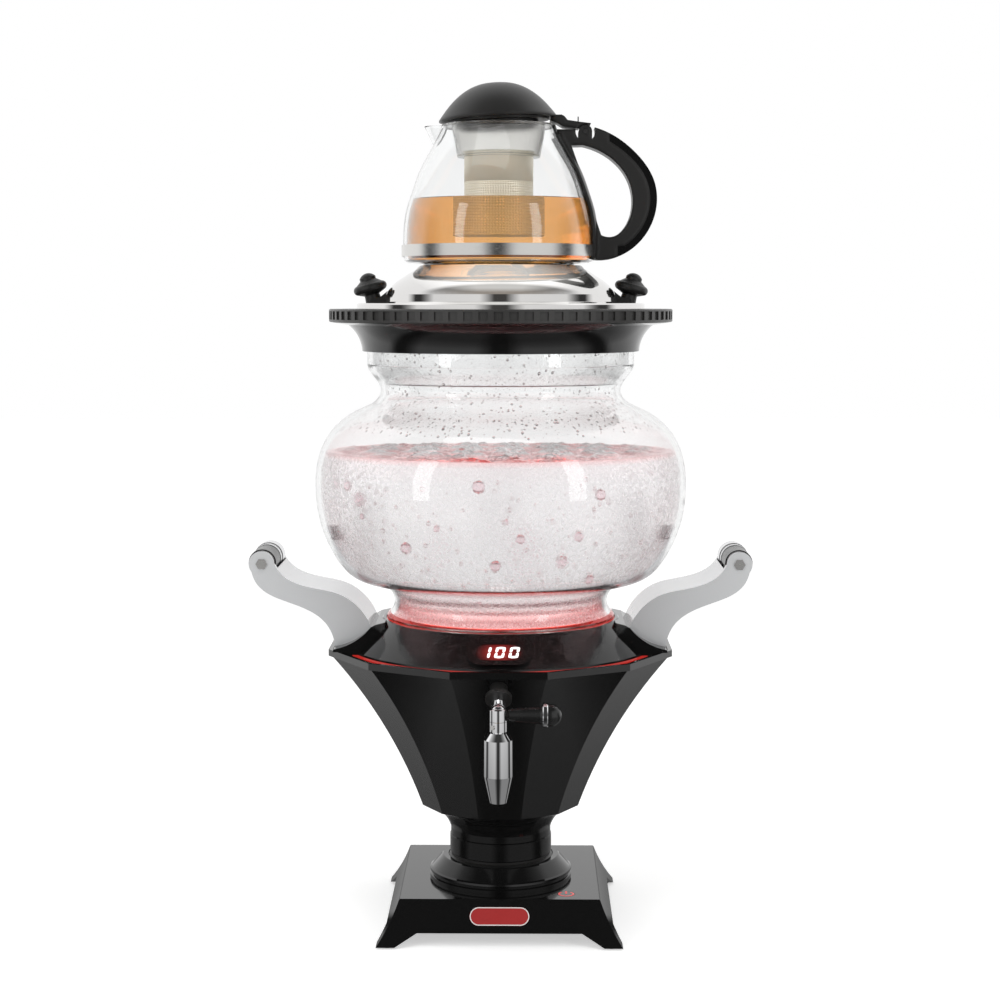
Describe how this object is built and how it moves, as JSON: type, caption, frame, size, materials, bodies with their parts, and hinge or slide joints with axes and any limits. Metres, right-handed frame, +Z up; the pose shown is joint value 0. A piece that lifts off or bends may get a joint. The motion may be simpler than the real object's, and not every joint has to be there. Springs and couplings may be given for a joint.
{
  "type": "samovar",
  "caption": "Electric samovar: glass vessel in a faceted bowl on a swivelling column and square base, with tap, side handles, lid and a glass teapot on top.",
  "frame": {"origin": "on the floor under the middle of the column", "axes": "+Z up; the tap faces -Y and its lever points to +X"},
  "size_m": [0.352, 0.2736, 0.5901],
  "materials": {
    "gloss_black": "glossy near-black moulding",
    "rubber": "plain rubber",
    "mirror_steel": "polished steel",
    "badge_red": "plain red enamel",
    "matte_black": "fine matte near-black moulding",
    "circuit_board": "coated board",
    "display_dark": "dark clear window",
    "light_pipe": "red lit light pipe",
    "satin_metal": "satin face with polished edges",
    "chrome": "polished chrome",
    "clear_glass": "clear glass",
    "brass": "plain brass",
    "frosted_plastic": "frosted clear moulding"
  },
  "bodies": {
    "base": {"base_shell": "gloss_black", "rubber_feet": "rubber", "base_screws": "mirror_steel", "blank_badge": "badge_red", "base_cover": "matte_black", "power_key": "gloss_black", "base_board": "circuit_board", "cord_gland": "matte_black", "pedestal_skirt": "gloss_black", "base_connector": "matte_black"},
    "swivel": {"swivel_ring": "matte_black"},
    "body": {"column_foot": "gloss_black", "body_connector": "matte_black", "neck_column": "gloss_black", "faceted_bowl": "gloss_black", "power_board": "circuit_board", "control_deck": "gloss_black", "display_window": "display_dark", "display_board": "circuit_board", "light_ring": "light_pipe", "saddles": "gloss_black", "handle_right": "satin_metal", "handle_left": "satin_metal", "handle_bolts": "chrome", "glass_vessel": "clear_glass", "foot_gasket": "rubber", "heating_plate": "mirror_steel", "temperature_sensor": "mirror_steel", "clamp_ring": "mirror_steel", "outlet_hose": "rubber", "tap_nut": "gloss_black", "tap_washer": "rubber", "tap_body": "chrome", "tap_nozzle": "chrome", "barrel_screw": "mirror_steel"},
    "tap_lever": {"lever_hub": "chrome", "tap_lever": "gloss_black", "lever_ring": "chrome", "lever_ball": "gloss_black", "valve_plug": "brass"},
    "grip_right": {"grip_right": "gloss_black", "grip_rings_right": "chrome"},
    "grip_left": {"grip_left": "gloss_black", "grip_rings_left": "chrome"},
    "collar": {"collar_body": "gloss_black", "knurled_ring": "gloss_black", "collar_seal": "rubber"},
    "lid": {"steel_lid": "mirror_steel", "lid_knobs": "matte_black"},
    "teapot": {"teapot_glass": "clear_glass", "steel_band": "mirror_steel", "pot_handle": "matte_black", "handle_spine": "matte_black", "hinge_pin": "mirror_steel", "infuser_holder": "frosted_plastic", "infuser_basket": "mirror_steel"},
    "pot_lid": {"pot_lid": "matte_black", "lid_plug": "matte_black", "thumb_tab": "mirror_steel"}
  },
  "joints": [
    {"name": "base_swivel", "type": "hinge", "parent": "base", "child": "swivel", "pos_m": [0, 0, 0.041], "axis": [0, 0, 1], "continuous": true},
    {"name": "body_lift", "type": "slide", "parent": "swivel", "child": "body", "axis": [0, 0, 1], "range_m": [0, 0.09]},
    {"name": "lever_turn", "type": "hinge", "parent": "body", "child": "tap_lever", "pos_m": [0, -0.134, 0.1739], "axis": [0, 0, 1], "range_deg": [-90, 0]},
    {"name": "grip_right_spin", "type": "hinge", "parent": "body", "child": "grip_right", "pos_m": [0.1658, 0, 0.2581], "axis": [0, 1, 0], "continuous": true},
    {"name": "grip_left_spin", "type": "hinge", "parent": "body", "child": "grip_left", "pos_m": [-0.1658, 0, 0.2581], "axis": [0, 1, 0], "continuous": true},
    {"name": "collar_turn", "type": "hinge", "parent": "body", "child": "collar", "pos_m": [0, 0, 0.417], "axis": [0, 0, 1], "range_deg": [0, 60]},
    {"name": "lid_lift", "type": "slide", "parent": "collar", "child": "lid", "axis": [0, 0, 1], "range_m": [0, 0.12]},
    {"name": "teapot_lift", "type": "slide", "parent": "lid", "child": "teapot", "axis": [0, 0, 1], "range_m": [0, 0.1]},
    {"name": "pot_lid_turn", "type": "hinge", "parent": "teapot", "child": "pot_lid", "pos_m": [0.0584, 0, 0.556], "axis": [0, 1, 0], "range_deg": [0, 75]}
  ]
}
